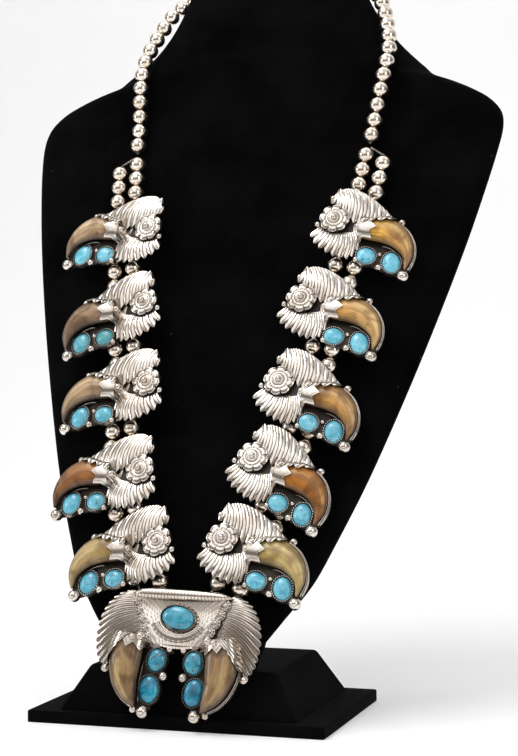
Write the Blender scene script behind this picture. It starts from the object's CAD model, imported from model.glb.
import bmesh
import bpy
import math
import numpy as np
from mathutils import Matrix, Vector

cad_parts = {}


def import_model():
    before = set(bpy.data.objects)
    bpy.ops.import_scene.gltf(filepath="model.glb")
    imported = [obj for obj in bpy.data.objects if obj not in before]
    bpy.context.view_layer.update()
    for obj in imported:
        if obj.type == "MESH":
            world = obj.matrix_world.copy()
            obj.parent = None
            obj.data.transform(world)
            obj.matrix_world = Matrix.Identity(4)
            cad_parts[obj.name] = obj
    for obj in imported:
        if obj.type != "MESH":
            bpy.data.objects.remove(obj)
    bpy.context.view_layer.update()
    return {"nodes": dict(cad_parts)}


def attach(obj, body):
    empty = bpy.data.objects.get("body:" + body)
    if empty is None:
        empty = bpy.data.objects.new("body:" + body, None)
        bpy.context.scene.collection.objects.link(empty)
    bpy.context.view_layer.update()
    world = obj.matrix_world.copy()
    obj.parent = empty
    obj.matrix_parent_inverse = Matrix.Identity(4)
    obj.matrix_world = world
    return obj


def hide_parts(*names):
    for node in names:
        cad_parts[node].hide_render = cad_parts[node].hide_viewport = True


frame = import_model()
NODES = frame["nodes"]
MM = 0.001

# Named sizes, in millimetres, as in the part's source
PLINTH = (170, 112, 6.6)
BLOCK = (137, 100, 24.2)
BLOCK_SLOPE = (15, 10)
LEAN, FRONT_L, SHOULDER_W, NECK_D = 25.6, 440, 300, 36
CROWN_R, FRONT_LINE = 1100, 65
FOOT_T, FOOT_W = 14, 80
BEAD_D, BEAD_GAP, BORE_D = 10, 0.25, 1.8
LAY_GAP, STRING_GAP = 0.3, 11.6
CLASP_D, CLASP_L = 6, 14
PLATE_T, TUBE_D, TUBE_L = 1, 4.8, 16
BEZEL_T, BEZEL_H, SET_GAP, CAP_T = 0.7, 2.6, 0.25, 0.8
ROSETTE_D, LEAF_RISE, TILT = 17.5, 3.4, 4.6
CLAW_L, CLAW_W, CLAW_T = 33, 15.8, 8.6
NAJA_L, NAJA_W, NAJA_T = 38, 18, 9.6
NAJA_U, NAJA_V, NAJA_LEAN, NAJA_TURN, NAJA_LIFT, NAJA_TUBE_L = 2, 62, 18, -2, 4.8, 7
STRAND_H = BEAD_D / 2 + LAY_GAP
PLATE_LIFT = STRAND_H + 0.9
PITCH = BEAD_D + BEAD_GAP
STAND_H = PLINTH[2] + BLOCK[2]
CLAW_Z = PLATE_T + 0.3 + CLAW_T / 2
NAJA_Z = PLATE_T + 0.3 + NAJA_T / 2

# Pendants from the top down: u outward, v up the front, turn down, inner thread
PENDANTS = {
    -1: [(53, 302, -14, 15), (48, 252, 0, 11.3), (37.5, 200, -6, 11.3),
         (32.5, 146, -7, 11.3), (15.5, 103.5, -1, 11.3)],
    1: [(61.5, 304.5, 4, 6), (48, 252.5, 3, 10.5), (41.5, 200.5, 7, 11.3),
        (32.5, 154, 12, 11.3), (21.5, 106, 2, 11.3)],
}
FORK, OUTER_BEND = (74.5, 358.5), (84.5, 352)
NECK_ROUTE = [
    (74.5, 87.7, 325.4), (76, 96.5, 344), (78.5, 104.9, 367.4), (79.5, 117, 389),
    (74.6, 130.8, 407.9), (67.6, 142.2, 423.2), (55.4, 155.9, 433.3), (36.5, 163.4, 438),
    (0, 167, 440)]
# Rows of the neck form: height and depth of its front, the same of its back, width, edge
BUST = [
    (.118, -.07, .132, -.46, .307, .04), (.150, 0, .159, -.39, .373, .047),
    (.200, 0, .200, -.39, .46, .053), (.252, 0, .252, -.40, .525, .053),
    (.341, 0, .341, -.43, .622, .06), (.455, 0, .455, -.47, .725, .06),
    (.568, 0, .568, -.50, .818, .067), (.682, 0, .682, -.54, .902, .067),
    (.773, 0, .773, -.58, .959, .073), (.830, 0, .828, -.64, .988, .08),
    (.868, 0, .864, -.72, 1, .087), (.895, 0, .889, -.80, .99, .107),
    (.914, .02, .905, -.86, .953, .147), (.925, .05, .919, -.90, .90, .20),
    (.936, .08, .936, -.93, .82, .26), (.946, .12, .957, -.95, .713, .33),
    (.956, .16, .982, -.96, .655, .40), (.966, .20, 1.011, -.95, .593, .50),
    (.975, .23, 1.043, -.90, .533, .533), (.984, .26, 1.080, -.68, .47, .47),
    (.992, .285, 1.118, -.42, .42, .42), (1, .30, 1.161, -.16, .38, .38)]
# Rings that round off its top: size and rise
NECK_RIM = [(.985, .025), (.965, .045), (.93, .06), (.88, .068), (.6, .072), (.25, .072)]
# Middle line along and across, width and thickness, as shares of the claw's sizes
SIDE_CLAW = [
    (0, 0, .76, .80), (.227, -.015, .86, .95), (.44, -.01, 1, 1), (.636, -.09, .91, .95),
    (.78, -.22, .73, .80), (.867, -.364, .52, .62), (.903, -.50, .32, .42),
    (.885, -.69, .09, .15)]
NAJA_CLAW = [
    (0, 0, .86, .80), (.22, .034, 1, .95), (.44, .04, .97, 1), (.64, .008, .80, .92),
    (.80, -.058, .58, .76), (.90, -.118, .35, .50), (.985, -.17, .10, .16)]
CLAW_ROOT, NAJA_ROOT = (17, -6.5), (26, -11)
# Outlines in a pendant's plane: x outward, y up
TOP_CREST = [(-2, 17.6), (3.6, 20.4), (11.6, 19.4), (20.4, 15), (29, 8.6), (37.4, 1.4)]
TOP_HEM = [(-4.6, 12.4), (2, 6), (9.4, 1), (16.6, -1.4), (25.4, .4), (36, .2)]
TOP_TEETH = [(-4.6, 12.4), (2, 6), (9.4, .8), (16.6, -2.4), (25.4, -1.2), (36, -.2)]
FAN_ROOT = [(-7.5, -5), (-1, -7.4), (5, -8.4), (10.5, -8), (15, -6)]
FAN_HEM = [(-12, -10.4), (-7.4, -16.6), (-.4, -21), (7, -23.4), (13.4, -22.4), (17.2, -14.8)]
# Stones: x, y, two half sizes, turn. Balls: x, y, diameter, height.
STONE_IN, STONE_OUT = (22.4, -22.8, 5.6, 5, -15), (37.6, -25.6, 5.2, 6.5, 14)
BALLS = [
    (45.4, -33.2, 7, 2.4), (39.4, 1.2, 4, 2.2), (30.6, -29, 4, 2), (30, -20.6, 2.6, 2),
    (16.6, -25.4, 3.2, 2), (-3.4, 13, 3.4, 2), (-9.4, -5.2, 3.6, 2), (15, -6.8, 3.8, 7.4),
    (17.8, -4.6, 3, 9.8)]
NAJA_STRANDS = [(12.5, 11.5), (27, 10.5)]
SHIELD = [(27, 13), (23.6, 10), (21.8, 4.6), (18.8, -1), (16.2, -7.6), (14.2, -13.2), (0, -15)]
WING_ROOT = [(20, -6.4), (20.2, -1), (21.4, 4.2), (23.2, 9), (25.2, 12.8)]
WING_RIM = [(39.4, -28), (43.4, -22.6), (45.2, -14.4), (45, -5), (42.2, 4), (36.8, 10.8),
            (30, 14)]
CENTRE_STONE = (0, 0, 9.5, 6.3, -8)
NAJA_UP, NAJA_LOW = (10.6, -23, 5.2, 6.2, 6), (12.8, -38.8, 5.6, 7.4, -6)
NAJA_BALLS = [
    (14.8, -51, 6.8, 3), (20.8, -50, 4, 2.2), (5.6, -31.2, 5, 2.7), (4, -16.4, 4, 2.6),
    (39.8, -29.6, 4.6, 2.4), (19.2, -11.6, 4.6, 9.6), (23.4, -12.4, 3.6, 11)]
ROLL_Y, ROLL_HALF = 13.2, 25.6
SHIELD_TOP = PLATE_T / 2 + 5.2
CENTRE_FLOOR = SHIELD_TOP - .8
# Half the shield's width by its height, from the bottom up
SHIELD_HALF = [(-15, 12), (-13.2, 14.2), (-7.6, 16.2), (-1, 18.8), (4.6, 21.8), (10, 23.6), (13, 27)]
SIDE_CAP = [(11.5, -2), (16.5, 1.2), (24.8, -.6), (22.4, -4), (26.2, -7), (22.6, -9.6),
            (24.4, -13.8), (19.4, -13.2), (15, -14.8), (12, -8.5)]
NAJA_CAP = [(13.6, -6.5), (30.5, -9), (32, -15.4), (28.6, -13.6), (26, -17.8), (22.6, -15),
            (18.6, -19.4), (16.4, -15.4), (12.8, -16.6)]
# Parts of the back plates that join the leaves, stones and balls
SIDE_PLATES = [
    [(5, 6), (20, 2), (20, -18), (5, -12)],
    [(17, -13), (20, -26), (31, -30.4), (44, -34), (45, -26), (30, -14)],
    [(0, 6), (-4.6, 12), (-2.6, 14), (6, 14)], [(0, -7), (-9.6, -6.2), (-9.6, -4), (0, 2)],
    [(10, -16), (15.6, -26), (18, -25), (20, -16)]]
NAJA_PLATES = [
    [(8, -14), (34, -10), (38, -24), (30, -30), (12, -20)],
    [(10, -24), (12, -45), (22, -45), (20, -24)], [(12, -12), (2, -14), (2, -18.4), (12, -20)],
    [(12, -28), (6.6, -30), (6.6, -32.6), (12, -36)],
    [(10, -42), (12.6, -52), (21.4, -51), (24, -42)],
    [(36, -22), (38.6, -30.4), (41.4, -30), (44, -20)]]

# What the looks add to the solids
SIDES = ((-1, "left"), (1, "right"))
BUST_ROWS, FOOT_ROWS, NAP_INSET = 106, 6, 0.35
SEAM_W, LIP, LIP_W = 0.028, 0.075, 0.035
CLAW_STEPS, CLAW_LIFT = 240, 0.95
ROSETTE_Y, ROSETTE_Z, WALL_LOW = -1, 3.5, .5
RAY_PITCH = 1.9

# Root, middle, tip, rim and pale streak of each claw, from the top pendant down
CLAW_COLOURS = {
    1: [((.90, .52, .03), (.66, .38, .12), (.52, .31, .12), (.15, .085, .035), (.80, .66, .42)),
        ((.74, .36, .07), (.72, .47, .19), (.54, .36, .15), (.17, .10, .05), (.84, .68, .42)),
        ((.46, .22, .05), (.52, .30, .10), (.34, .20, .08), (.12, .065, .03), (.74, .56, .33)),
        ((.46, .17, .02), (.40, .16, .025), (.30, .14, .04), (.11, .05, .02), (.60, .36, .13)),
        ((.52, .41, .13), (.60, .47, .21), (.42, .33, .15), (.16, .12, .06), (.74, .64, .38))],
    -1: [((.30, .17, .08), (.58, .43, .27), (.22, .16, .12), (.08, .055, .045), (.78, .64, .44)),
         ((.20, .13, .085), (.38, .26, .17), (.16, .11, .08), (.06, .045, .038), (.62, .48, .33)),
         ((.24, .16, .10), (.54, .39, .25), (.20, .14, .10), (.07, .05, .042), (.74, .58, .39)),
         ((.34, .14, .04), (.32, .14, .05), (.18, .09, .04), (.07, .035, .022), (.56, .34, .16)),
         ((.42, .30, .10), (.54, .41, .21), (.34, .25, .12), (.13, .09, .05), (.70, .58, .34))],
}
LARGE_COLOURS = {
    -1: ((.24, .15, .10), (.40, .28, .14), (.18, .115, .08), (.08, .05, .038), (.60, .47, .25)),
    1: ((.25, .15, .10), (.40, .27, .14), (.17, .11, .075), (.07, .048, .036), (.58, .45, .24)),
}
# How mottled, how green and how deep the stones are: inner and outer stone of each pendant
STONE_TINTS = {
    1: [((.25, .0, .10), (.45, .05, .05)), ((.15, .0, .05), (.25, .0, .15)), ((.3, .1, .2), (.4, .05, .3)),
        ((.25, .1, .3), (.35, .1, .35)), ((.2, .0, .35), (.3, .0, .4))],
    -1: [((.3, .1, .05), (.35, .05, .05)), ((.8, .7, .35), (.8, .45, .3)), ((.4, .15, .3), (.35, .1, .35)),
         ((.4, .1, .4), (.3, .1, .35)), ((.5, .05, .5), (.4, .1, .5))],
}
NAJA_TINTS = [(NAJA_UP, (.9, .12, .85)), (NAJA_LOW, (1, .0, 1))]

# Camera: turn to the right, up and roll in degrees, place in metres, focal length in pixels
CAMERA_TURNS, CAMERA_AT = (18.07, .77, -.44), (.34257, -.95001, .20142)
FOCAL_PX, PICTURE_H, SENSOR_H = 1790.84, 756, 36
# Lights: name, place, target, size, power, colour
WHITE = (1, 1, 1)
LIGHTS = [
    ("key", (-.55, -.45, 1.75), (0, -.02, .2), (.9, .7), 11, WHITE),
    ("panel", (-.35, -1.05, 1.25), (0, -.02, .2), (1.7, 1.1), 4.9, WHITE),
    ("side", (-1.2, -.6, .6), (0, -.02, .2), (.3, .5), 3, WHITE),
    ("fill", (1.15, -.9, .75), (0, -.02, .22), (.4, .9), 4.5, (1, .98, .95)),
    ("back", (0, .55, 1.9), (0, 1.5, .6), (2.6, .8), 8, WHITE),
]
SKY = [(.0, (.22, .20, .18)), (.46, (.075, .060, .048)), (.56, (.15, .125, .10)),
       (.68, (.26, .235, .21)), (.80, (.42, .41, .41)), (1, (.7, .7, .72))]


# Maths
def rad(a):
    return math.radians(a)


def around(n):
    return 2 * math.pi * np.arange(n) / n


def unit(a):
    a = np.asarray(a, float)
    return a / np.linalg.norm(a)


def smooth(table, t):
    table = np.asarray(table, float)
    t = np.asarray(t, float)
    n = len(table) - 1
    x = np.minimum(t * n, n - 1e-6)
    i = np.floor(x).astype(int)
    f = (x - i)[..., None]
    a, b = table[np.maximum(i - 1, 0)], table[i]
    c, d = table[i + 1], table[np.minimum(i + 2, n)]
    return 0.5 * (2 * b + (c - a) * f + (2 * a - 5 * b + 4 * c - d) * f * f
                  + (3 * b - a - 3 * c + d) * f ** 3)


def front(u, v, w):
    s, c = math.sin(rad(LEAN)), math.cos(rad(LEAN))
    return np.array([u, v * s - w * c - FRONT_LINE, v * c + w * s])


def crown(u):
    return -u * u / (2 * CROWN_R)


def lay(side, p):
    return front(side * p[0], p[1], crown(p[0]) + STRAND_H)


def move(x, y, z):
    m = np.eye(4)
    m[:3, 3] = (x, y, z)
    return m


def turn(axis, a):
    c, s = math.cos(rad(a)), math.sin(rad(a))
    m = np.eye(4)
    i, j = [(1, 2), (2, 0), (0, 1)]["xyz".index(axis)]
    m[i, i] = m[j, j] = c
    m[i, j], m[j, i] = -s, s
    return m


def mirror_x(side):
    return np.diag([side, 1.0, 1.0, 1.0])


def put(m, p):
    p = np.asarray(p, float)
    return p @ m[:3, :3].T + m[:3, 3]


# Strings
def place(row, x, y):
    c, s = math.cos(rad(row[2])), math.sin(rad(row[2]))
    return np.array([row[0] + x * c + y * s, row[1] - x * s + y * c])


def naja_place(side, p):
    c, s = math.cos(rad(NAJA_TURN)), math.sin(rad(NAJA_TURN))
    return np.array([side * NAJA_U + p[0] * c - side * p[1] * s,
                     NAJA_V + side * p[0] * s + p[1] * c])


def stops(side):
    return ([np.array(FORK)] + [place(r, r[3], 0) for r in PENDANTS[side]]
            + [naja_place(side, NAJA_STRANDS[0])])


def string_dir(side, i):
    s = stops(side)
    return unit(s[i] - s[i + 2])


def string_mid(side, i, outer):
    d = string_dir(side, i)
    return stops(side)[i + 1] + outer * STRING_GAP * np.array([d[1], -d[0]])


def tube_end(side, i, outer, up):
    return lay(side, string_mid(side, i, outer) + up * TUBE_L / 2 * string_dir(side, i))


def naja_frame():
    o = front(NAJA_U, NAJA_V, LAY_GAP)
    return move(*o) @ turn("x", 90 - NAJA_LEAN) @ turn("z", NAJA_TURN)


def naja_tube_top(side, outer):
    p = NAJA_STRANDS[outer]
    return put(naja_frame(), [side * p[0], p[1] + NAJA_TUBE_L / 2, TUBE_D / 2 + 0.7])


def run(a, b, start=0):
    l = np.linalg.norm(b - a)
    if start > 0:
        n = 1 + math.floor((l - start - BEAD_D / 2 - 0.3) / PITCH)
        first = start
    else:
        n = math.floor(l / PITCH + 0.02)
        first = (l - (n - 1) * PITCH) / 2
    d = unit(b - a)
    return [(a + d * (first + i * PITCH), d) for i in range(n)]


def string_beads(side, outer):
    first = lay(side, OUTER_BEND if outer else (FORK[0] - 1, FORK[1] - 0.8))
    out = run(first, tube_end(side, 0, outer, 1), 0.54 * BEAD_D)
    for i in range(4):
        out += run(tube_end(side, i, outer, -1), tube_end(side, i + 1, outer, 1))
    return out + run(tube_end(side, 4, outer, -1), naja_tube_top(side, outer))


def neck_beads(side):
    line = smooth(NECK_ROUTE, np.arange(241) / 240)
    l = np.concatenate([[0], np.cumsum(np.linalg.norm(np.diff(line, axis=0), axis=1))])
    first = 0.68 * PITCH
    room = l[-1] - CLASP_L / 2 - BEAD_D / 2 - 0.5 - first
    n = 1 + math.floor(room / PITCH)
    pitch = room / (n - 1)
    at = [np.array([np.interp(first + i * pitch, l, line[:, k]) for k in range(3)])
          for i in range(-1, n + 1)]
    flip = np.array([side, 1, 1])
    return [(at[i] * flip, unit(at[i + 1] - at[i - 1]) * flip) for i in range(1, n + 1)]


def at_pendant(side, i):
    row = PENDANTS[side][i]
    tilt = TILT + math.degrees(math.asin(row[0] / CROWN_R))
    w = crown(string_mid(side, i, 0)[0]) + STRAND_H + PLATE_LIFT + row[3] * math.sin(rad(tilt))
    return (move(*front(side * row[0], row[1], w)) @ turn("x", 90 - LEAN)
            @ turn("y", side * tilt) @ mirror_x(side) @ turn("z", -row[2]))


# Meshes: a pile collects points, faces and two shares a point, for tarnish and tint
class Pile:
    def __init__(self):
        self.points, self.faces, self.dark, self.tint = [], [], [], []
        self.count = 0

    def add(self, points, faces, dark=0.0, tint=None):
        points = np.asarray(points, float).reshape(-1, 3)
        n = len(points)
        self.points.append(points)
        self.faces += [tuple(self.count + k for k in f) for f in faces]
        self.dark.append(np.broadcast_to(np.asarray(dark, float).reshape(-1), (n,)))
        tint = np.zeros((n, 3)) if tint is None else np.broadcast_to(tint, (n, 3))
        self.tint.append(np.asarray(tint, float))
        self.count += n

    def join(self, other, m=None):
        for p, d, t in zip(other.points, other.dark, other.tint):
            self.points.append(p if m is None else put(m, p))
            self.dark.append(d)
            self.tint.append(t)
        self.faces += [tuple(self.count + k for k in f) for f in other.faces]
        self.count += other.count

    # Grid of rows and columns: wrap closes the columns, caps close the two ends, and
    # bore ties the last row to the first
    def grid(self, pts, dark=0.0, tint=None, wrap=False, caps=False, bore=False):
        pts = np.asarray(pts, float)
        r, c = pts.shape[:2]
        if tint is not None:
            tint = np.broadcast_to(tint, (r, c, 3)).reshape(-1, 3)
        cols = c if wrap else c - 1
        faces = [(i * c + j, i * c + (j + 1) % c, (i + 1) * c + (j + 1) % c, (i + 1) * c + j)
                 for i in range(r - 1) for j in range(cols)]
        last = (r - 1) * c
        if caps:
            faces.append(tuple(range(c))[::-1])
            faces.append(tuple(last + k for k in range(c)))
        if bore:
            faces += [(last + j, last + (j + 1) % c, (j + 1) % c, j) for j in range(c)]
        self.add(pts, faces, np.broadcast_to(dark, (r, c)).reshape(-1), tint)

    # Closed sheet between an upper and a lower grid
    def sheet(self, top, low, dark=0.0, dark_low=1.0):
        r, c = top.shape[:2]
        n = r * c
        faces = []
        for i in range(r - 1):
            for j in range(c - 1):
                a, d = i * c + j, (i + 1) * c + j
                faces.append((a, a + 1, d + 1, d))
                faces.append((n + d, n + d + 1, n + a + 1, n + a))
        rim = ([j for j in range(c)] + [i * c + c - 1 for i in range(1, r)]
               + [(r - 1) * c + j for j in range(c - 2, -1, -1)]
               + [i * c for i in range(r - 2, 0, -1)])
        faces += [(a, n + a, n + b, b) for a, b in zip(rim, rim[1:] + rim[:1])]
        shares = np.concatenate([np.broadcast_to(dark, (r, c)).reshape(-1), np.full(n, dark_low)])
        self.add(np.concatenate([top.reshape(-1, 3), low.reshape(-1, 3)]), faces, shares)

    def prism(self, outline, z0, z1, dark=0.0):
        outline = np.asarray(outline, float)
        n = len(outline)
        faces = [tuple(range(n)), tuple(2 * n - 1 - k for k in range(n))]
        faces += [(k, n + k, n + (k + 1) % n, (k + 1) % n) for k in range(n)]
        self.add(np.concatenate([flat(outline, z1), flat(outline, z0)]), faces, dark)

    # Shot ball with a faint groove near its top and a dark underside
    def ball(self, x, y, d, z):
        a = np.linspace(0, math.pi, 15)[:, None]
        b = around(20)[None]
        groove = np.exp(-((a - .62) / .09) ** 2) * np.ones_like(b)
        r = d / 2 - .025 * d * groove
        dark = np.maximum(.75 * groove, np.clip((a - 2) / .5, 0, 1))
        pts = np.stack([x + r * np.sin(a) * np.cos(b), y + r * np.sin(a) * np.sin(b),
                        z + r * np.cos(a)], -1)
        self.grid(pts, dark, wrap=True, caps=True)


def flat(ring, z):
    return np.concatenate([ring, np.broadcast_to(z, len(ring))[:, None]], 1)


def placed(name, data):
    obj = bpy.data.objects.new(name, data)
    bpy.context.scene.collection.objects.link(obj)
    return obj


def tidy_normals(mesh):
    bm = bmesh.new()
    bm.from_mesh(mesh)
    bmesh.ops.remove_doubles(bm, verts=bm.verts, dist=1e-7)
    bmesh.ops.recalc_face_normals(bm, faces=bm.faces)
    bm.to_mesh(mesh)
    bm.free()


# The map called "grain" runs along a claw and round it, from another place on each claw
def lay_grain(mesh, grain, name):
    corners = np.empty(len(mesh.loops), np.int32)
    mesh.loops.foreach_get("vertex_index", corners)
    where = grain[corners]
    # the last column's faces go round to 1, not back to 0
    for poly in mesh.polygons:
        k = slice(poly.loop_start, poly.loop_start + poly.loop_total)
        if poly.loop_total == 4 and np.ptp(where[k, 1]) > .5:
            where[k, 1] += where[k, 1] < .5
    shift = sum(ord(letter) * (q + 3) for q, letter in enumerate(name)) % 97
    where = where + np.array([shift * 1.37, shift * .61])
    mesh.uv_layers.new(name="grain").data.foreach_set("uv", where.reshape(-1))


# One visible piece: tint or tarnish for each point, and the second material from
# the face `split` on
def make(name, pile, materials, node, m=None, sharp=38, tint=False, split=None, grain=None):
    mesh = bpy.data.meshes.new(name)
    points = np.concatenate(pile.points)
    if m is not None:
        points = put(m, points)
    mesh.from_pydata((points * MM).tolist(), [], pile.faces)
    count = len(pile.faces)
    mesh.polygons.foreach_set("use_smooth", [True] * count)
    if split is not None:
        mesh.polygons.foreach_set("material_index", [0] * split + [1] * (count - split))
    if tint:
        rgb = np.clip(np.concatenate(pile.tint), 0, 1)
        layer = mesh.attributes.new("tint", "FLOAT_COLOR", "POINT")
        layer.data.foreach_set("color", np.hstack([rgb, np.ones((len(rgb), 1))]).reshape(-1))
    else:
        layer = mesh.attributes.new("tarnish", "FLOAT", "POINT")
        layer.data.foreach_set("value", np.concatenate(pile.dark))
    if grain is not None:
        lay_grain(mesh, grain, name)
    mesh.update()
    obj = placed(name, mesh)
    for material in materials:
        mesh.materials.append(material)
    tidy_normals(mesh)
    if sharp:
        mesh.set_sharp_from_angle(angle=rad(sharp))
    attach(obj, "root")
    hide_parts(node)


# Materials
def nodes_of(name):
    mat = bpy.data.materials.new(name)
    mat.use_nodes = True
    tree = mat.node_tree
    tree.nodes.clear()
    out = tree.nodes.new("ShaderNodeOutputMaterial")
    shader = tree.nodes.new("ShaderNodeBsdfPrincipled")
    tree.links.new(shader.outputs[0], out.inputs[0])
    return mat, tree, shader


def link(tree, a, b):
    tree.links.new(a, b)


def settle(node, table):
    for key, value in table.items():
        node.inputs[key].default_value = value


def texture(tree, kind, vector, table):
    node = tree.nodes.new("ShaderNode" + kind)
    settle(node, table)
    link(tree, vector, node.inputs["Vector"])
    return node


def coords(tree):
    return tree.nodes.new("ShaderNodeTexCoord").outputs["Object"]


def noise(tree, at, scale, detail=3.0, rough=0.5, distort=0.0):
    table = {"Scale": scale, "Detail": detail, "Roughness": rough, "Distortion": distort}
    return texture(tree, "TexNoise", at, table).outputs["Fac"]


def stretched(tree, at, scale, rotation=(0, 0, 0)):
    return texture(tree, "Mapping", at, {"Scale": scale, "Rotation": rotation}).outputs[0]


def ramp(tree, fac, colours):
    r = tree.nodes.new("ShaderNodeValToRGB")
    e = r.color_ramp.elements
    while len(e) < len(colours):
        e.new(0.5)
    for k, (pos, col) in enumerate(colours):
        e[k].position = pos
        e[k].color = col + (1,)
    link(tree, fac, r.inputs[0])
    return r.outputs[0]


# From one grey at a first place to another at a second
def fade(tree, fac, p0, p1, v0=0, v1=1):
    return ramp(tree, fac, [(p0, (v0, v0, v0)), (p1, (v1, v1, v1))])


def feed(tree, value, socket):
    if isinstance(value, (int, float)):
        socket.default_value = value
    elif isinstance(value, tuple):
        socket.default_value = value + (1,)
    else:
        link(tree, value, socket)


def mixed(tree, fac, a, b, kind="MIX"):
    m = tree.nodes.new("ShaderNodeMix")
    m.data_type = "RGBA"
    m.blend_type = kind
    for value, socket in ((fac, m.inputs[0]), (a, m.inputs[6]), (b, m.inputs[7])):
        feed(tree, value, socket)
    return m.outputs[2]


def maths(tree, kind, a, b, clamp=False):
    m = tree.nodes.new("ShaderNodeMath")
    m.operation = kind
    m.use_clamp = clamp
    feed(tree, a, m.inputs[0])
    feed(tree, b, m.inputs[1])
    return m.outputs[0]


def times(tree, a, b, clamp=False):
    return maths(tree, "MULTIPLY", a, b, clamp)


def plus(tree, a, b, clamp=False):
    return maths(tree, "ADD", a, b, clamp)


def attribute(tree, name, kind="Fac"):
    a = tree.nodes.new("ShaderNodeAttribute")
    a.attribute_name = name
    return a.outputs[kind]


# A shader's colour, roughness, other plain numbers and relief
def finish(tree, shader, colour, rough, table, height, distance, strength):
    feed(tree, colour, shader.inputs["Base Color"])
    feed(tree, rough, shader.inputs["Roughness"])
    settle(shader, table)
    b = tree.nodes.new("ShaderNodeBump")
    settle(b, {"Distance": distance, "Strength": strength})
    link(tree, height, b.inputs["Height"])
    link(tree, b.outputs[0], shader.inputs["Normal"])


# Silver with tarnish in its grooves: fine scratches and slow warm clouds over it
def silver(name, bright, shade, rough, tarnish, scratch=1.0):
    mat, t, s = nodes_of(name)
    at = coords(t)
    cloud = noise(t, at, 55, 4, 0.6)
    fine = noise(t, at, 900, 3, 0.6)
    lines = noise(t, stretched(t, at, (300, 2400, 300), (0.3, 0.2, 0.7)), 1, 2, 0.6)
    base = mixed(t, fade(t, cloud, 0.35, 0.62), bright, shade)
    dark = attribute(t, "tarnish")
    spread = plus(t, dark, times(t, maths(t, "SUBTRACT", fine, 0.5), 0.35), clamp=True)
    spread = times(t, spread, fade(t, dark, 0.02, 0.12))
    r = plus(t, plus(t, rough, times(t, cloud, 0.14)), times(t, spread, 0.3), clamp=True)
    finish(t, s, mixed(t, spread, base, tarnish), r, {"Metallic": 1.0},
           plus(t, times(t, lines, 0.6), times(t, fine, 0.4)), 0.00004, 0.5 * scratch)
    return mat


# Velvet: a slow change in its nap, and a few specks of lint
def velvet(name, colour, sheen):
    mat, t, s = nodes_of(name)
    at = coords(t)
    pile = noise(t, at, 1500, 2, 0.7)
    nap = noise(t, at, 24, 4, 0.55)
    base = mixed(t, fade(t, nap, 0.35, 0.75), colour, tuple(c * 1.7 + 0.002 for c in colour))
    cells = texture(t, "TexVoronoi", at, {"Scale": 95})
    near = fade(t, cells.outputs["Distance"], 0.022, 0.034, 1, 0)
    pick = t.nodes.new("ShaderNodeSeparateColor")
    link(t, cells.outputs["Color"], pick.inputs[0])
    speck = times(t, near, fade(t, pick.outputs[0], 0.68, 0.72))
    base = mixed(t, times(t, speck, pick.outputs[1]), base, (.35, .34, .36))
    finish(t, s, base, 0.95, {"Specular IOR Level": 0.02, "Sheen Weight": sheen,
                              "Sheen Roughness": 0.35, "Sheen Tint": (.75, .78, .9, 1)},
           plus(t, pile, times(t, nap, 2.5)), 0.0003, 0.6)
    return mat


# Turquoise: sky blue with paler and greener clouds and a dark web of matrix.
# The tint's first part is how mottled a stone is, the second how green, the third how deep.
def turquoise(name):
    mat, t, s = nodes_of(name)
    at = coords(t)
    tint = t.nodes.new("ShaderNodeSeparateColor")
    link(t, attribute(t, "tint", "Color"), tint.inputs[0])
    cloud = noise(t, at, 170, 5, 0.6, 0.6)
    base = ramp(t, cloud, [(0.30, (.09, .46, .62)), (0.46, (.17, .60, .78)),
                           (0.60, (.27, .72, .88)), (0.78, (.50, .86, .95))])
    deep = mixed(t, fade(t, cloud, 0.35, 0.70), (.002, .12, .22), (.025, .38, .54))
    base = mixed(t, tint.outputs[2], base, deep)
    green = mixed(t, tint.outputs[1], base, (.05, .27, .27))
    web = fade(t, noise(t, at, 300, 6, 0.72, 1.6), 0.54, 0.61)
    patch = fade(t, noise(t, at, 120, 2, 0.5, 0.5), 0.44, 0.56)
    marks = times(t, times(t, web, patch), tint.outputs[0], clamp=True)
    specks = fade(t, noise(t, at, 520, 2, 0.5, 0.8), 0.66, 0.70)
    marks = maths(t, "MAXIMUM", marks, times(t, specks, 0.85))
    finish(t, s, mixed(t, marks, green, (.035, .03, .03)), plus(t, 0.22, times(t, marks, 0.3)),
           {"Coat Weight": 0.55, "Coat Roughness": 0.08},
           plus(t, times(t, marks, -1.0), times(t, cloud, 0.4)), 0.00008, 0.6)
    return mat


# Horn: its own colour from the tint, with streaks and hairs along the grain and
# broad dark clouds
def horn(name):
    mat, t, s = nodes_of(name)
    grain = t.nodes.new("ShaderNodeUVMap")
    grain.uv_map = "grain"
    streak = noise(t, stretched(t, grain.outputs[0], (1.8, 17, 1)), 1, 5, 0.62, 0.35)
    hair = noise(t, stretched(t, grain.outputs[0], (4, 95, 1)), 1, 3, 0.6)
    at = coords(t)
    cloud = noise(t, at, 120, 3, 0.5)
    col = attribute(t, "tint", "Color")
    light = mixed(t, 1.0, col, (1.40, 1.32, 1.10), "MULTIPLY")
    deep = mixed(t, 1.0, col, (.31, .23, .18), "MULTIPLY")
    a = mixed(t, fade(t, streak, 0.34, 0.66), deep, light)
    a = mixed(t, 0.35, a, col)
    a = mixed(t, times(t, fade(t, hair, 0.40, 0.55, 1, 0), 0.22), a, deep)
    a = mixed(t, times(t, fade(t, cloud, 0.5, 0.8), 0.3), a, light)
    broad = fade(t, noise(t, at, 90, 2, 0.5, 0.6), 0.38, 0.54, 1, 0)
    a = mixed(t, times(t, broad, 0.7), a, deep)
    finish(t, s, a, plus(t, 0.26, times(t, streak, 0.2)),
           {"Coat Weight": 0.4, "Coat Roughness": 0.07, "Specular IOR Level": 0.25},
           plus(t, times(t, streak, 0.6), times(t, hair, 0.4)), 0.00025, 0.5)
    return mat


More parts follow.
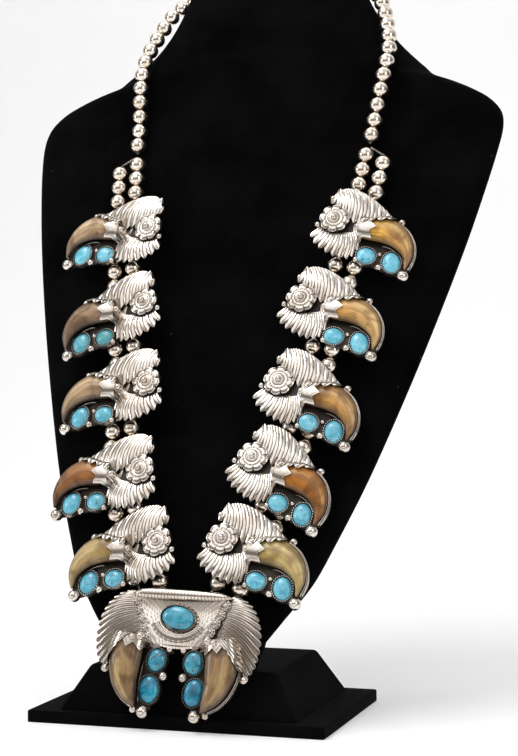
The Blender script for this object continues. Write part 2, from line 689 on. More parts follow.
def cord_material(name):
    mat, t, s = nodes_of(name)
    strands = texture(t, "TexWave", coords(t), {"Scale": 420, "Distortion": 1.5})
    strands.bands_direction = "DIAGONAL"
    share = strands.outputs["Fac"]
    finish(t, s, mixed(t, share, (.16, .145, .13), (.50, .47, .43)), 0.5, {"Metallic": 0.6},
           share, 0.0002, 0.7)
    return mat


def floor_material(name):
    mat, t, s = nodes_of(name)
    n = noise(t, coords(t), 14, 3, 0.5)
    link(t, mixed(t, n, (.86, .86, .87), (.90, .90, .905)), s.inputs["Base Color"])
    settle(s, {"Roughness": 0.8, "Specular IOR Level": 0.2, "Emission Color": (1, 1, 1, 1),
               "Emission Strength": 0.15})
    return mat


SILVER = silver("silver_work", (.90, .84, .77), (.65, .57, .49), 0.13, (.024, .018, .014))
SILVER_DARK = silver("silver_plate", (.075, .066, .058), (.035, .030, .027), 0.42, (.012, .010, .009))
SILVER_BEAD = silver("silver_beads", (.93, .86, .78), (.80, .70, .59), 0.15, (.045, .038, .033), 0.6)
VELVET = velvet("velvet_bust", (.0011, .0011, .0013), 0.011)
BOARD = velvet("velvet_board", (.0018, .0018, .0020), 0.016)
TURQUOISE = turquoise("turquoise")
HORN = horn("horn")
CORD = cord_material("thread")
FLOOR = floor_material("floor")


# Stand: the covered board, the covered block and the neck form
def rounded_block(name, lower, upper, z0, z1, r, node):
    bottom, top = np.array(lower) / 2, np.array(upper) / 2
    steps = 5
    turns = [math.pi / 2 * k / steps for k in range(steps + 1)]
    # how far each ring lies from the face that it rounds off, and in from the side
    levels = [(r * (1 - math.cos(a)), r * (1 - math.sin(a))) for a in turns]
    heights = [(z0 + .35 * rise, .35 * inset) for rise, inset in levels]
    heights += [(z1 - rise, inset) for rise, inset in levels[::-1]]
    rings = []
    for z, inset in heights:
        half = bottom + (top - bottom) * (z - z0) / (z1 - z0) - inset
        corner = max(r * 1.5 - inset, 0.6)
        ring = []
        for q, (sx, sy) in enumerate(((1, 1), (-1, 1), (-1, -1), (1, -1))):
            for k in range(7):
                a = math.pi / 2 * (q + k / 6)
                ring.append((sx * (half[0] - corner) + corner * math.cos(a),
                             sy * (half[1] - corner) + corner * math.sin(a), z))
        rings.append(ring)
    pile = Pile()
    pile.grid(rings, wrap=True, caps=True)
    make(name, pile, [BOARD], node, sharp=60)


def bust_ring(f, b, half, edge, n=160):
    span = b - f
    deep = np.linalg.norm(span)
    fall = min(half * half / (2 * CROWN_R), deep * 0.45)
    rim = (deep - fall) / 2
    a = around(n)
    u = half * np.cos(a)
    k = np.clip((np.abs(u) - (half - edge)) / edge, 0, 1)
    bend = rim * (1 - np.sqrt(np.maximum(0, 1 - k * k)))
    share = np.where(a > math.pi, fall * u * u / half ** 2 + bend, deep - bend) / deep
    return f + np.outer(u, (1, 0, 0)) + np.outer(share, span)


def neck_bust():
    rows = []
    for t in np.linspace(0, 1, BUST_ROWS):
        r = smooth(BUST, t)
        rows.append((front(0, r[0] * FRONT_L, r[1] * NECK_D),
                     front(0, r[2] * FRONT_L, r[3] * NECK_D),
                     r[4] * SHOULDER_W / 2, r[5] * SHOULDER_W / 2))
    foot = BLOCK_SLOPE[1] - BLOCK[1] / 2 + 0.5
    start = (np.array([0, foot, STAND_H]), np.array([0, foot + FOOT_T, STAND_H]),
             FOOT_W / 2, FOOT_T / 2)
    rings = []
    for k in range(FOOT_ROWS):
        s = k / FOOT_ROWS
        between = [(1 - s) * np.asarray(a) + s * np.asarray(b) for a, b in zip(start, rows[0])]
        rings.append(bust_ring(between[0], between[1], float(between[2]), float(between[3])))
    rings += [bust_ring(*r) for r in rows]
    # the nap lies a little inside the form's own skin, so that the beads rest clear
    for k in range(FOOT_ROWS, len(rings)):
        mid = rings[k].mean(axis=0)
        away = rings[k] - mid
        length = np.linalg.norm(away, axis=1, keepdims=True)
        rings[k] = mid + away * (1 - NAP_INSET / np.maximum(length, 2))
    top, below = rows[-1], rows[-11]
    centre = (top[0] + top[1]) / 2
    up = unit(centre - (below[0] + below[1]) / 2)
    last = rings[-1]
    rings += [centre + (last - centre) * share + up * rise * NECK_D for share, rise in NECK_RIM]
    pile = Pile()
    pile.grid(rings, wrap=True, caps=True)
    make("bust_cover", pile, [VELVET], "bust", sharp=70)


# Beads: two pressed halves with a soldered seam round the middle, and a bored hole.
# The profile goes by its angle from the bore's axis, so widths of seam and lips are angles.
def bead_pile(at, axis, spin):
    cols = 30
    r, b = BEAD_D / 2, BORE_D / 2
    low = math.asin(b / r)
    lips_at = np.array([-LIP, -LIP_W, LIP_W, LIP]) + math.pi / 2
    a = np.sort(np.concatenate([np.linspace(low, math.pi - low, 23), lips_at]))
    x = a - math.pi / 2
    seam = np.exp(-(x / SEAM_W) ** 2)
    lips = np.exp(-((np.abs(x) - LIP) / LIP_W) ** 2)
    radius = r * (1 - .014 * seam) - .04 + .03 * lips
    out, up = radius * np.sin(a), radius * np.cos(a)
    collar = np.clip(1 - (np.minimum(a, math.pi - a) - low) / 0.10, 0, 1)
    dark = np.clip(0.85 * seam + 0.9 * collar ** 2, 0, 1)
    out = np.concatenate([[b * .96], out, [b * .96]])
    up = np.concatenate([[up[0] * .72], up, [up[-1] * .72]])
    dark = np.concatenate([[1], dark, [1]])
    t = around(cols) + spin
    pts = np.stack([out[:, None] * np.cos(t), out[:, None] * np.sin(t),
                    up[:, None] * np.ones(cols)], -1)
    z = unit(axis)
    x = unit(np.cross(z, (0.2, 0.3, 1.0) if abs(z[2]) < 0.9 else (1.0, 0, 0)))
    m = np.eye(4)
    m[:3, 0], m[:3, 1], m[:3, 2], m[:3, 3] = x, np.cross(z, x), z, at
    bead = Pile()
    bead.grid(put(m, pts), dark[:, None], wrap=True, bore=True)
    return bead


def string(name, beads, node):
    pile = Pile()
    for k, (at, axis) in enumerate(beads):
        pile.join(bead_pile(at, axis, 0.7 * k))
    make(name, pile, [SILVER_BEAD], node, sharp=50)


# Barrel clasp: a turned barrel with ringed waists and a milled middle
def clasp():
    x = np.linspace(-.5, .5, 45) * CLASP_L
    e = np.abs(x) / (CLASP_L / 2)
    waist = (e > .18) & (e < .80)
    r = np.where(waist, CLASP_D / 2 * .86 + .12 * np.sin(60 * e), CLASP_D / 2)
    r = np.where(e > .93, CLASP_D / 2 * (1 - 3 * (e - .93)), r)
    lines = ((e > .16) & (e < .20)) | ((e > .79) & (e < .83))
    dark = np.concatenate([[1], np.where(lines, .9, .12), [1]])
    x = np.concatenate([x[:1], x, x[-1:]])
    r = np.concatenate([[BORE_D / 2], r, [BORE_D / 2]])
    t = around(40)
    mill = (np.abs(x) < CLASP_L * .09) * .09
    r = r[:, None] + mill[:, None] * np.cos(20 * t)
    pts = np.stack([x[:, None] * np.ones(40), r * np.cos(t), r * np.sin(t)], -1)
    pile = Pile()
    pile.grid(pts, dark[:, None], wrap=True, bore=True)
    make("clasp_barrel", pile, [SILVER_BEAD], "clasp", move(*NECK_ROUTE[-1]), sharp=35)


rounded_block("board_cover", PLINTH[:2], PLINTH[:2], 0, PLINTH[2], 1.1, "plinth")
rounded_block("block_cover", BLOCK[:2], (BLOCK[0] - 2 * BLOCK_SLOPE[0], BLOCK[1] - 2 * BLOCK_SLOPE[1]),
              PLINTH[2], STAND_H, 1.6, "block")
neck_bust()
for side, word in SIDES:
    string("neck_string_" + word, neck_beads(side), "neck_beads_" + word)
    for outer, which in ((0, "inner"), (1, "outer")):
        string("string_%s_%s" % (word, which), string_beads(side, outer),
               "beads_%s_%s" % (word, which))
clasp()
for node in ("neck_thread", "threads_left", "threads_right"):
    for slot in NODES[node].material_slots:
        slot.material = CORD


# Claws
class Claw:
    def __init__(self, table, length, width, thick, mid, root, turned):
        s = smooth(table, np.linspace(0, 1, CLAW_STEPS))
        c = s[:, :2] * length
        d = np.gradient(c, axis=0)
        d /= np.linalg.norm(d, axis=1, keepdims=True)
        side = np.stack([-d[:, 1], d[:, 0]], 1)
        if turned:
            c, d, side = [np.stack([p[:, 1], -p[:, 0]], 1) for p in (c, d, side)]
        self.c, self.d, self.side = c + np.array(root), d, side
        self.a, self.b, self.mid = s[:, 2] * width / 2, s[:, 3] * thick / 2, mid

    # Height of the cap's skin over points in the plane, low where the claw isn't
    def top(self, x, y):
        grow = SET_GAP + CAP_T
        p = np.stack([np.ravel(x), np.ravel(y)], 1)
        rel = p[:, None, :] - self.c[None]
        off = (rel * self.side[None]).sum(2)
        along = np.abs((rel * self.d[None]).sum(2))
        along = np.where(np.abs(off) < self.a[None] + grow, along, 1e3)
        k = along.argmin(1)
        i = np.arange(len(p))
        e = off[i, k] / (self.a[k] + grow)
        z = self.mid + (self.b[k] + grow) * np.sqrt(np.maximum(0, 1 - e * e))
        return np.where(along[i, k] < 1.2, z, -5).reshape(np.shape(x))

    def edge(self, t, out, side=1):
        i = np.clip((np.asarray(t) * (CLAW_STEPS - 1)).astype(int), 0, CLAW_STEPS - 1)
        return self.c[i] + side * self.side[i] * (self.a[i] + out)[:, None]

    def colour(self, colours, s, across):
        root, middle, tip, rim, pale = [np.array(v) for v in colours]
        col = np.where(s < .45, root + (middle - root) * s / .45,
                       middle + (tip - middle) * (s - .45) / .55)
        stripe = np.exp(-((across - .05 - .35 * np.sin(3 * s)) / .26) ** 2)
        stripe = stripe * np.sin(math.pi * np.clip(s * 1.1, 0, 1))
        col = col + (pale - col) * stripe * .55
        edge = np.clip((np.abs(across) - .44) / .56, 0, 1) ** 1.3
        return col + (rim - col) * edge * .9

    # The claw's points and faces, and each point's place along and round it
    def pile(self, colours, rows=60, cols=44):
        i = (np.linspace(0, 1, rows) * (CLAW_STEPS - 1)).astype(int)
        shrink, push = np.ones(rows), np.zeros(rows)
        # both ends close over three small rings
        for size, out in ((.86, .32), (.5, .62), (.12, .74)):
            i = np.concatenate([[0], i, [CLAW_STEPS - 1]])
            shrink = np.concatenate([[size], shrink, [size]])
            push = np.concatenate([[-out], push, [out]])
        t = i / (CLAW_STEPS - 1)
        c = self.c[i] + self.d[i] * push[:, None]
        a, b = self.a[i] * shrink, self.b[i] * shrink
        g = around(cols) - math.pi / 2
        # a shallow oval round, with a faint keel along each side
        lift = CLAW_LIFT * np.sin(g) * (1 - .05 * np.cos(3 * g) ** 2)
        wide = np.cos(g)
        xy = c[:, None] + self.side[i][:, None] * (a[:, None] * wide)[..., None]
        z = self.mid + b[:, None] * lift
        pile = Pile()
        pile.grid(np.concatenate([xy, z[..., None]], 2), 0.0,
                  self.colour(colours, t[:, None, None], wide[None, :, None]), wrap=True, caps=True)
        return pile, np.stack([np.repeat(t, cols), np.tile(np.arange(cols) / cols, len(t))], 1)


def claw_piece(name, claw, colours, node, m):
    pile, grain = claw.pile(colours)
    make(name, pile, [HORN], node, m, sharp=None, tint=True, grain=grain)


SIDE = Claw(SIDE_CLAW, CLAW_L, CLAW_W, CLAW_T, CLAW_Z, CLAW_ROOT, False)
LARGE = Claw(NAJA_CLAW, NAJA_L, NAJA_W, NAJA_T, NAJA_Z, NAJA_ROOT, True)


# Silver work in a pendant's own plane
def oval(s, grow, n, wobble=0.0):
    a = around(n)
    inward = 1 - wobble * (1 + 0.5 * np.sin(2 * a + s[0]) + 0.5 * np.sin(3 * a + s[1])) / 2
    x, y = (s[2] + grow) * np.cos(a) * inward, (s[3] + grow) * np.sin(a) * inward
    c, q = math.cos(rad(s[4])), math.sin(rad(s[4]))
    return np.stack([s[0] + x * c - y * q, s[1] + x * q + y * c], 1)


def disc(y, r):
    return oval((0, y, r, r, 0), 0, 40)


def soft_max(a, b, r):
    return 0.5 * (a + b + np.sqrt((a - b) ** 2 + r * r))


# Ring round a stone from rows of growth, height and tarnish, closed underneath
def collar(pile, s, n, rows):
    pile.grid([flat(oval(s, SET_GAP + out, n), z) for out, z, dark in rows],
              [np.broadcast_to(dark, n) for out, z, dark in rows], wrap=True, bore=True)


# Bezel with a toothed edge that is pressed over the stone
def bezel(pile, s, low, floor, h, teeth):
    n = teeth * 6
    gap = 1.0 - np.isin(np.arange(n) % 6, (1, 2, 3))
    top = floor + h
    collar(pile, s, n, [
        (BEZEL_T, low, .55), (BEZEL_T, top - .9, .35),
        (BEZEL_T - .08, top - .5 - .25 * gap, .2 + .75 * gap),
        (BEZEL_T - .22, top - .62 * gap, .98 * gap), (.10, top + .02 - .70 * gap, .95 * gap),
        (.02, top - .5 - .4 * gap, 1), (.02, floor, 1)])


def cabochon(pile, s, tint, n):
    z0 = PLATE_T + SET_GAP
    mid, ring = np.array(s[:2]), oval(s, 0, n, .02)
    rings = [flat(oval(s, -.35, n, .02), z0), flat(oval(s, -.05, n, .02), z0 + .35)]
    for q in np.cos(np.linspace(.02, 1, 17) * math.pi / 2):
        z = z0 + 1.3 + (BEZEL_H + .3) * (1 - q ** 2.5) ** .5
        rings.append(flat(mid + (ring - mid) * max(q, .02), z))
    pile.grid(rings, 0.0, tint, wrap=True, caps=True)


def gems(name, stones, node, m, n=64):
    pile = Pile()
    for s, tint in stones:
        cabochon(pile, s, tint, n)
    make(name, pile, [TURQUOISE], node, m, tint=True)


# Stamped leaf between a crest and a hem, with two pressed lines to each tooth of the
# hem. Over a claw it lies on the claw's cap. S runs from the crest to the hem.
def leaf(pile, crest, hem, teeth, rise, tooth, bend, over=None, puffs=False, side_teeth=0, rows=11,
         round_tip=False, fan=1.0, shade=.16):
    n = teeth * 2
    x = np.append(np.arange(n)[:, None] + np.array([0, .12, .5, .88]), n)
    t = x / n
    S = (np.linspace(0, 1, rows + 1) ** .92)[:, None]
    a = smooth(crest, t ** fan)
    v = smooth(hem, t) - a
    l = np.linalg.norm(v, axis=1)
    d = v / l[:, None]
    across = np.stack([-v[:, 1], v[:, 0]], 1)
    f = x / 2 - np.floor(x / 2)
    if round_tip:
        wave = np.sqrt(np.maximum(0, 1 - (2 * f - 1) ** 2))
    else:
        wave = 1 - np.abs(2 * f - 1) ** 1.25
    reach = np.minimum(tooth, l / 4) * (wave * 1.25 - .15)
    p = a + v * S[..., None] + d * (reach * S ** 2)[..., None]
    p = p + (bend * np.sin(math.pi * S))[..., None] * across
    if puffs:
        puff = np.abs(np.sin(math.pi * t * 14)) ** .7 * (t * 14 < 3)
        p = p - d * (puff * 1.5 * (1 - S) ** 3)[..., None]
    if side_teeth:
        saw = np.abs(2 * ((S * side_teeth) % 1) - 1) * np.exp(-(t / .05) ** 2)
        shift = saw * 1.3 * np.sin(math.pi * np.clip(S * 1.05, 0, 1)) ** .3
        p = p - shift[..., None] * across / l[:, None]
    g = x - np.floor(x)
    groove = np.where(g < .01, 1.0, 0.0)
    beside = np.where(np.abs(np.abs(g - .5) - .38) < .01, 1.0, 0.0)
    swell = np.sin(math.pi * g)
    begun = np.clip(S / .12, 0, 1)
    deeper = np.where(np.abs(f) < .01, 1.5, 1.0) * S ** .5 + .35
    dome = rise * np.sin(rad(20) + rad(120) * S) * (.55 + .45 * np.sin(math.pi * t))
    z = PLATE_T + dome + begun * (.09 * swell - .21 * groove * deeper)
    if over is not None:
        z = soft_max(z, over.top(p[..., 0], p[..., 1]) + .62 + .1 * swell - .2 * groove, .9)
    under = z - .55
    under[0] = .5
    dark = begun * (groove + beside * (.08 + .18 * S)) + shade * np.clip(1 - 2.6 * S, 0, 1)
    pile.sheet(np.dstack([p, z]), np.dstack([p, under]), dark)


# Scalloped disc of a rosette, with pressed rings: share of the radius, drop, tarnish
def petals(pile, r, count, z, h, cut=.17, turned=0.0):
    n = count * 12
    a = around(n)
    lobe = np.abs(np.cos(count * a / 2)) ** .6
    way = np.stack([np.cos(a + turned), np.sin(a + turned)], 1)
    centre = np.array([0, ROSETTE_Y])
    rings, dark = [flat(centre + .95 * r * way, z)], [np.full(n, 1.0)]
    for q, drop, mark in ((1, .35, .4), (.975, .10, .05), (.92, 0, 0), (.895, .14, .85),
                          (.87, .14, .85), (.85, 0, .03), (.74, 0, 0), (.66, 0, .05), (.63, .12, .8),
                          (.60, .12, .8), (.57, 0, .08), (.46, 0, .15), (.38, 0, .6)):
        notch = (1 - lobe) * np.clip((q - .55) / .3, 0, 1)
        reach = r * q * (1 - cut * notch)
        top = z + h * (1 - .20 * q * q) - drop - 1.4 * cut * notch ** 3
        rings.append(flat(centre + reach[:, None] * way, top))
        dark.append(np.clip(mark + 6 * cut * notch ** 2, 0, 1))
    pile.grid(rings, dark, wrap=True, caps=True)


# Small domed button with two pressed rings and rays
def button(pile, x, y, r, z, h, rays, base):
    n = rays * 4
    a = around(n)
    tick = np.arange(n) % 4 == 0
    rings, dark = [], []
    for k in range(9):
        q = 1 - .92 * k / 8
        pressed, ray = k in (2, 5), tick * (q > .35)
        top = z + h * (1 - q ** 3 * .35) - .16 * pressed - .14 * ray
        rings.append(np.stack([x + r * q * np.cos(a), y + r * q * np.sin(a), top], 1))
        dark.append(np.clip(base + .75 * pressed + .7 * ray, 0, 1))
    foot = flat(rings[0][:, :2], z)
    pile.grid([foot] + rings, [np.full(n, .8)] + dark, wrap=True, caps=True)


# Cap with a jagged edge: a thin skin over the claw, out along its underside and back
# over its top
def jagged_cap(pile, outline, mid, claw):
    outline, mid = np.array(outline, float), np.array(mid)
    ring = np.concatenate([np.linspace(a, b, 7, endpoint=False)
                           for a, b in zip(outline, np.roll(outline, -1, axis=0))])
    tops, lows = [], []
    for k in range(11):
        p = mid + (ring - mid) * (1 - .97 * k / 10)
        z = soft_max(claw.top(p[:, 0], p[:, 1]), 1.3, .6)
        tops.append(flat(p, z))
        lows.append(flat(p, z - .5))
    dark = np.full((22, 1), .12)
    dark[:11] = 1
    dark[11] += .1
    dark[13] += .45
    pile.grid(lows[::-1] + tops, dark, wrap=True, caps=True)


# Wall along a claw's edge, lower at its ends
def wall(pile, claw, t0, t1, gap, thick, high, side=1, dark=0.0):
    t = np.linspace(t0, t1, 60)
    inner, outer = claw.edge(t, gap, side), claw.edge(t, gap + thick, side)
    ends = np.clip(np.minimum(t - t0, t1 - t) / .08, 0, 1) ** .5
    top = WALL_LOW + (high - WALL_LOW) * (.35 + .65 * ends)
    rows = [flat(outer, WALL_LOW), flat(outer, top - .12), flat(outer * .7 + inner * .3, top),
            flat(outer * .3 + inner * .7, top), flat(inner, top - .12), flat(inner, WALL_LOW)]
    shares = np.clip(np.array([.9, .15, 0, 0, .6, 1]) + dark, 0, 1)
    pile.grid(np.array(rows).transpose(1, 0, 2), shares, wrap=True, caps=True)


# The three strips of wall at a claw, and the plate under it
def claw_seat(pile, plate, claw, spans, heights):
    wall(pile, claw, *spans[0], SET_GAP, .42, PLATE_T + heights[0])
    wall(pile, claw, *spans[1], SET_GAP + .62, .38, PLATE_T + heights[1])
    wall(pile, claw, *spans[2], SET_GAP, .40, PLATE_T + heights[2], side=-1, dark=.25)
    t = np.linspace(0, 1, 40)
    plate.prism(np.concatenate([claw.edge(t, 1.15), claw.edge(t[::-1], 1.15, -1)]), 0, PLATE_T)


# Tube with a pressed ring near each end: distance from the end, radius, tarnish
def tube(pile, m, length):
    half = [(0, BORE_D / 2, 1), (0, TUBE_D / 2 - .25, .5), (.3, TUBE_D / 2, .1),
            (1.2, TUBE_D / 2, .1), (1.35, TUBE_D / 2 - .12, .9), (1.5, TUBE_D / 2, .1)]
    rows = [(x - length / 2, r, dark) for x, r, dark in half]
    rows += [(-x, r, dark) for x, r, dark in rows[::-1]]
    t = around(32)
    pts = [np.stack([r * np.cos(t), np.full(32, x), r * np.sin(t)], 1) for x, r, dark in rows]
    pile.grid(put(m, pts), [[dark] for x, r, dark in rows], wrap=True, bore=True)


def bar(pile, m, lo, hi):
    (x0, y0, z0), (x1, y1, z1) = lo, hi
    c = .2
    part = Pile()
    part.prism([(x0 + c, y0), (x1 - c, y0), (x1, y0 + c), (x1, y1 - c), (x1 - c, y1), (x0 + c, y1),
                (x0, y1 - c), (x0, y0 + c)], z0, z1, .5)
    pile.join(part, m)


# Parts of a back plate, each a hair lower than the one before
def plates(plate, shapes):
    for k, shape in enumerate(shapes):
        plate.prism(shape, 0, PLATE_T - .08 - .02 * k)


def set_stones(pile, plate, stones, teeth):
    for s in stones:
        bezel(pile, s, PLATE_T / 2, PLATE_T, BEZEL_H, teeth)
        plate.prism(oval(s, SET_GAP + BEZEL_T, 48), 0, PLATE_T - .03)


def side_silver():
    p, plate = Pile(), Pile()
    leaf(p, TOP_CREST, TOP_TEETH, 10, LEAF_RISE, 2.3, .11, over=SIDE, puffs=True, fan=1.45)
    leaf(p, FAN_ROOT, FAN_HEM, 9, LEAF_RISE * .8, 2.3, .10)
    p.prism(disc(ROSETTE_Y, ROSETTE_D * .36), .3, ROSETTE_Z + .2, .9)
    petals(p, ROSETTE_D / 2 + .2, 8, ROSETTE_Z - .2, 1.3)
    petals(p, ROSETTE_D * .33, 12, ROSETTE_Z + .7, .8, cut=.05, turned=.4)
    petals(p, ROSETTE_D * .17, 6, ROSETTE_Z + 1.3, .7, cut=.04)
    p.ball(0, ROSETTE_Y, 3.6, ROSETTE_Z + 2.6)
    jagged_cap(p, SIDE_CAP, (17.5, -7), SIDE)
    claw_seat(p, plate, SIDE, ((.20, .99), (.22, .97), (.30, .90)), (3.2, 2.3, 2.0))
    set_stones(p, plate, (STONE_IN, STONE_OUT), 30)
    for b in BALLS:
        p.ball(*b)
    t = np.linspace(0, 1, 20)
    plate.prism(np.concatenate([smooth(TOP_CREST, t), smooth(TOP_HEM, t[::-1])]), 0, PLATE_T - .02)
    root = smooth(FAN_ROOT, t)
    low = root + (smooth(FAN_HEM, t) - root) * .92
    plate.prism(np.concatenate([low, root[::-1]]), 0, PLATE_T - .04)
    plate.prism(disc(0, ROSETTE_D * .44), 0, PLATE_T - .06)
    plates(plate, SIDE_PLATES)
    return p, plate


# Bright silver in its place and the plate put there, in two materials
def silver_piece(name, bright, plate, node, m):
    both = Pile()
    both.join(bright)
    split = len(both.faces)
    both.join(plate, m)
    make(name, both, [SILVER, SILVER_DARK], node, sharp=42, split=split)


def side_pendant(side, i, tag, silver_part, plate):
    m = at_pendant(side, i)
    bright = Pile()
    bright.join(silver_part, m)
    d = string_dir(side, i)
    for outer in (0, 1):
        middle = (tube_end(side, i, outer, -1) + tube_end(side, i, outer, 1)) / 2
        mt = (move(*middle) @ turn("x", 90 - LEAN)
              @ turn("z", -side * math.degrees(math.atan2(d[0], d[1]))))
        tube(bright, mt, TUBE_L)
        web = PLATE_LIFT + PLATE_T * .6 - outer * STRING_GAP * math.sin(rad(TILT))
        bar(bright, mt, (-.9, 2 - TUBE_L / 2, TUBE_D / 2 - .3), (.9, TUBE_L / 2 - 2, web))
    silver_piece("silver_" + tag, bright, plate, "mount_" + tag, m)
    claw_piece("horn_" + tag, SIDE, CLAW_COLOURS[side][i], "claw_" + tag, m)
    gems("gems_" + tag, zip((STONE_IN, STONE_OUT), STONE_TINTS[side][i]), "stones_" + tag, m)


side_bright, side_plate = side_silver()
for side, word in SIDES:
    for i in range(5):
        side_pendant(side, i, "%s_%d" % (word, i + 1), side_bright, side_plate)


# Naja: shield with rays, folded top, stamped border, wings, caps and bezels
def off_whole(x):
    return np.abs(x - np.round(x))


def shield(pile):
    y = np.linspace(12.6, -14.4, 26)[:, None]
    s = np.linspace(-1, 1, 250)[None]
    x = s * np.interp(y, *zip(*SHIELD_HALF))
    y = y + 0 * x
    ray = 32 * np.arctan2(y + 7, x) / math.pi
    line = np.clip(1 - 2 * off_whole(ray) / .24, 0, 1) * (np.hypot(x / 11.5, y / 8.5) > 1)
    line = line * np.where(np.round(ray) % 2 == 0, 1.0, .6)
    hollow = 1.9 * (1 - s ** 2) * np.clip((y + 16) / 20, 0, 1)
    under = .35 * np.clip((y - 5) / 5, 0, 1)
    pile.sheet(np.dstack([x, y, SHIELD_TOP - hollow - .12 * line]), np.dstack([x, y, np.full_like(x, .5)]),
               np.clip(.04 + under + .85 * line, 0, 1), .6)


# The shield's sheet folded over along its top, widest in the middle, with short rays
def roll(pile):
    x = np.linspace(-ROLL_HALF - 2.2, ROLL_HALF + 2.2, 241)[:, None]
    q = x / (ROLL_HALF + 2.2)
    high = 3.15 * (1 - np.abs(q) ** 7) ** .5 * (1 - .16 * q - .10 * q * q)
    deep = 2.75 * (1 - np.abs(q) ** 9) ** .5
    c, s = np.cos(around(22))[None], np.sin(around(22))[None]
    press = np.clip(1 - 2 * off_whole(x / RAY_PITCH) / .30, 0, 1)
    press = press * np.clip(s + .25, 0, 1) * np.clip(1.1 - c, 0, 1)
    pts = np.dstack([x - .825 * q * c, ROLL_Y - .25 + .35 * q + high * (1 - .045 * press) * c,
                     4.4 + deep * (1 - .05 * press) * s])
    dark = np.maximum(press * np.clip(1 - .9 * c, 0, 1), 6 * np.clip(-c - .86, 0, 1))
    pile.grid(pts, np.clip(dark, 0, 1), wrap=True, caps=True)


# Stamped band under the centre stone, from one angle to another. A row says its share
# from the inner to the outer edge, its lift, its tarnish and how deep the rays are.
def band(pile, a0, a1, r_in, r_out, z, stamps):
    k = np.arange(stamps * 8 + 1)
    t = np.linspace(rad(a0), rad(a1), len(k))
    mark = np.isin(k % 8, (0, 4))
    wave = 1 + .05 * np.abs(np.sin(math.pi * k / 8))
    top, dark = [], []
    for q, lift, share, ray in ((0, -.3, .9, 0), (.06, .25, .1, 0), (.16, .3, .05, 0),
                                (.24, -.02, .8, 0), (.32, .12, .1, .5), (.52, .16, .1, 1),
                                (.72, .10, .1, 1), (.80, -.02, .75, 0), (.88, .2, .06, 0),
                                (1, .1, .2, 0)):
        rx, ry = [(i + (o - i) * q) * (wave if q > .85 else 1) for i, o in zip(r_in, r_out)]
        top.append(np.stack([rx * np.cos(t), ry * np.sin(t), z + lift - .14 * ray * mark], 1))
        dark.append(np.clip(share + .7 * ray * mark, 0, 1))
    top = np.array(top)
    low = top.copy()
    low[..., 2] = z - 1.6
    pile.sheet(top, low, np.array(dark))


# Lip with short rays below the border
def lip(pile):
    x, v = np.meshgrid(np.linspace(-9.5, 9.5, 61), np.linspace(0, 1, 9))
    ray = (off_whole(x / RAY_PITCH) < .1) & (v > .3)
    y = -12.6 - 3.6 * v * (1 - .25 * (x / 9.5) ** 2)
    z = 4.4 + .5 * np.sin(math.pi * v) - .1 * ray
    pile.sheet(np.dstack([x, y, z]), np.dstack([x, y, np.full_like(x, 2.2)]), np.where(ray, .65, .08))


# Twisted wire round the centre bezel
def rope(pile, s):
    n = 96
    gap = np.arange(n) % 4 >= 2
    rise = np.where(gap, -.05, .12)
    collar(pile, s, n, [
        (BEZEL_T + .9, 4, .8), (BEZEL_T + .85, SHIELD_TOP - .5 + rise, .25 + .6 * gap),
        (BEZEL_T + .45, SHIELD_TOP - .2 + rise, .1 + .6 * gap),
        (BEZEL_T - .1, SHIELD_TOP - .5, 1), (BEZEL_T - .1, 4, 1)])


# One side of the naja, for the right
def naja_side():
    p, plate = Pile(), Pile()
    for i in range(5):
        q = i / 4
        button(p, 24.8 - 9.4 * q, 8.6 - 19.2 * q, 3.4, 4.0, 1.1 - .1 * (i % 2), 10, .05)
    button(p, 10.6, -13.2, 2.9, 3.9, .9, 14, .1)
    leaf(p, WING_ROOT, WING_RIM, 13, LEAF_RISE * 1.2, 1.9, .08, over=LARGE, side_teeth=9, rows=15,
         round_tip=True, shade=.34)
    jagged_cap(p, NAJA_CAP, (23, -10.5), LARGE)
    claw_seat(p, plate, LARGE, ((.16, .985), (.20, .97), (.25, .93)), (3.2, 2.2, 2.2))
    set_stones(p, plate, (NAJA_UP, NAJA_LOW), 32)
    for b in NAJA_BALLS:
        p.ball(*b)
    t = np.linspace(0, 1, 40)
    root, rim = smooth(WING_ROOT, t), smooth(WING_RIM, t)
    plate.prism(np.concatenate([root + (rim - root) * .94, root[::-1]]), 0, PLATE_T - .05)
    plates(plate, NAJA_PLATES)
    return p, plate


def naja_silver():
    p, plate = Pile(), Pile()
    shield(p)
    roll(p)
    band(p, 196, 344, (11.6, 8.4), (15.6, 12.6), SHIELD_TOP + .15, 13)
    bezel(p, CENTRE_STONE, 2, CENTRE_FLOOR, BEZEL_H * .8 + .8, 44)
    rope(p, CENTRE_STONE)
    lip(p)
    plate.prism(SHIELD + [(-x, y) for x, y in SHIELD[-2::-1]], 0, PLATE_T - .04)
    for pile, part in zip((p, plate), naja_side()):
        pile.join(part)
        pile.join(part, mirror_x(-1))
    return p, plate


def naja():
    flush = naja_frame()
    raised = flush @ move(0, 0, NAJA_LIFT)
    bright, plate = naja_silver()
    whole = Pile()
    whole.join(bright, raised)
    tube_z = TUBE_D / 2 + .7
    for side in (-1, 1):
        for x, y in NAJA_STRANDS:
            mt = flush @ move(side * x, y, tube_z)
            tube(whole, mt, NAJA_TUBE_L)
            bar(whole, mt, (-1, 1 - NAJA_TUBE_L / 2, TUBE_D / 2 - .3),
                (1, NAJA_TUBE_L / 2 - 1, NAJA_LIFT + .5 - tube_z))
    silver_piece("silver_naja", whole, plate, "naja_mount", raised)
    for side, word in SIDES:
        m = raised @ mirror_x(side)
        claw_piece("horn_naja_" + word, LARGE, LARGE_COLOURS[side], "naja_claw_" + word, m)
        gems("gems_naja_" + word, NAJA_TINTS, "naja_stones_" + word, m)
    gems("gem_centre", [(CENTRE_STONE, (.1, .12, .8))], "naja_centre_stone",
         raised @ move(0, 0, CENTRE_FLOOR - PLATE_T), n=96)


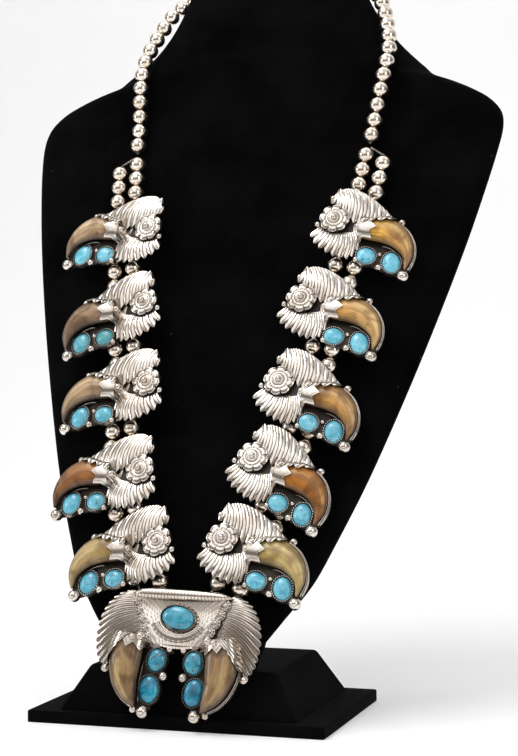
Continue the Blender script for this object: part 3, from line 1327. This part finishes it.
naja()


# Floor, camera and light, in metres
def stage_floor():
    size, back, r = 4.0, 1.6, .8
    turns = np.linspace(.1, math.pi / 2, 12)
    prof = [(-size, 0), (back - r, 0)]
    prof += [(back - r + r * math.sin(a), r - r * math.cos(a)) for a in turns]
    prof += [(back, 3.2)]
    mesh = bpy.data.meshes.new("floor")
    faces = [(2 * k, 2 * k + 1, 2 * k + 3, 2 * k + 2) for k in range(len(prof) - 1)]
    mesh.from_pydata([(x, y, z) for y, z in prof for x in (-size, size)], [], faces)
    mesh.polygons.foreach_set("use_smooth", [True] * len(faces))
    mesh.update()
    mesh.materials.append(FLOOR)
    obj = placed("floor", mesh)


def camera():
    az, el, roll_by = [rad(a) for a in CAMERA_TURNS]
    back = np.array([math.sin(az) * math.cos(el), -math.cos(az) * math.cos(el), math.sin(el)])
    right = np.array([math.cos(az), math.sin(az), 0])
    up = np.cross(back, right)
    across = right * math.cos(roll_by) + up * math.sin(roll_by)
    upward = up * math.cos(roll_by) - right * math.sin(roll_by)
    cam = bpy.data.cameras.new("camera")
    cam.sensor_fit = "VERTICAL"
    cam.sensor_height = SENSOR_H
    cam.lens = FOCAL_PX * SENSOR_H / PICTURE_H
    cam.clip_end = 20
    m = Matrix.Identity(4)
    for k in range(3):
        m[k][0], m[k][1], m[k][2], m[k][3] = across[k], upward[k], back[k], CAMERA_AT[k]
    obj = placed("camera", cam)
    obj.matrix_world = m
    bpy.context.scene.camera = obj


def area(name, at, target, size, power, colour):
    light = bpy.data.lights.new(name, "AREA")
    light.shape = "RECTANGLE"
    light.size, light.size_y = size
    light.energy = power
    light.color = colour
    obj = placed(name, light)
    obj.location = at
    obj.rotation_euler = (Vector(target) - Vector(at)).to_track_quat("-Z", "Y").to_euler()


def world():
    w = bpy.data.worlds.new("studio")
    bpy.context.scene.world = w
    w.use_nodes = True
    t = w.node_tree
    t.nodes.clear()
    out = t.nodes.new("ShaderNodeOutputWorld")
    sky = t.nodes.new("ShaderNodeBackground")
    at = t.nodes.new("ShaderNodeTexCoord")
    sep = t.nodes.new("ShaderNodeSeparateXYZ")
    link(t, at.outputs["Generated"], sep.inputs[0])
    link(t, ramp(t, plus(t, times(t, sep.outputs[2], .5), .5), SKY), sky.inputs[0])
    sky.inputs[1].default_value = 1.0
    link(t, sky.outputs[0], out.inputs[0])


stage_floor()
camera()
world()
for light in LIGHTS:
    area(*light)
bpy.context.scene.view_settings.view_transform = "Standard"
